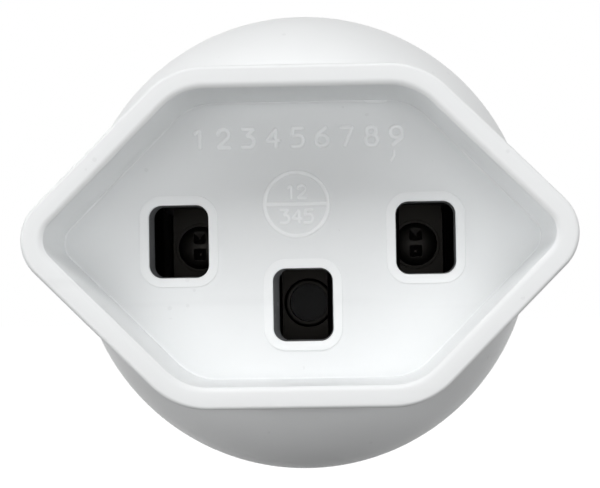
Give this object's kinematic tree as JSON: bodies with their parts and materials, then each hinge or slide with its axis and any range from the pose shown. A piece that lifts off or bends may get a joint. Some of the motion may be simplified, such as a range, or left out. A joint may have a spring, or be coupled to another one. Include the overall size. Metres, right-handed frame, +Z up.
{
  "type": "plug adapter",
  "caption": "Travel plug adapter: white pointed recess with rectangular socket holes in front, and a round black plug with side earth contacts behind.",
  "frame": {"origin": "centre of the plug's pin face, midway between the pins", "axes": "+Y is the way the pins point, the socket faces -Y, +X is to the right and +Z up when looking at the socket, with its earth hole below the line of the other holes"},
  "size_m": [0.0404, 0.0565, 0.0366],
  "materials": {
    "white_housing": "satin moulded thermoplastic",
    "black_base": "fine grained moulded thermoplastic",
    "black_carrier": "moulded thermoplastic",
    "nickel_pin": "nickel plated, turned",
    "contact_brass": "stamped strip",
    "spring_steel": "hardened strip",
    "earth_metal": "nickel plated strip",
    "screw_steel": "zinc plated"
  },
  "bodies": {
    "root": {"front_housing": "white_housing", "socket_plate": "white_housing", "plug_base": "black_base", "line_chamber": "black_carrier", "neutral_chamber": "black_carrier", "earth_chamber": "black_carrier", "sleeve_holder": "black_carrier", "line_pin": "nickel_pin", "neutral_pin": "nickel_pin", "line_contact": "contact_brass", "neutral_contact": "contact_brass", "earth_contact": "contact_brass", "line_spring": "spring_steel", "neutral_spring": "spring_steel", "earth_spring": "spring_steel", "line_washer": "contact_brass", "neutral_washer": "contact_brass", "earth_rivet": "contact_brass", "earth_strap": "earth_metal", "earth_sleeve": "earth_metal", "upper_screw": "screw_steel", "lower_screw": "screw_steel"}
  },
  "joints": []
}
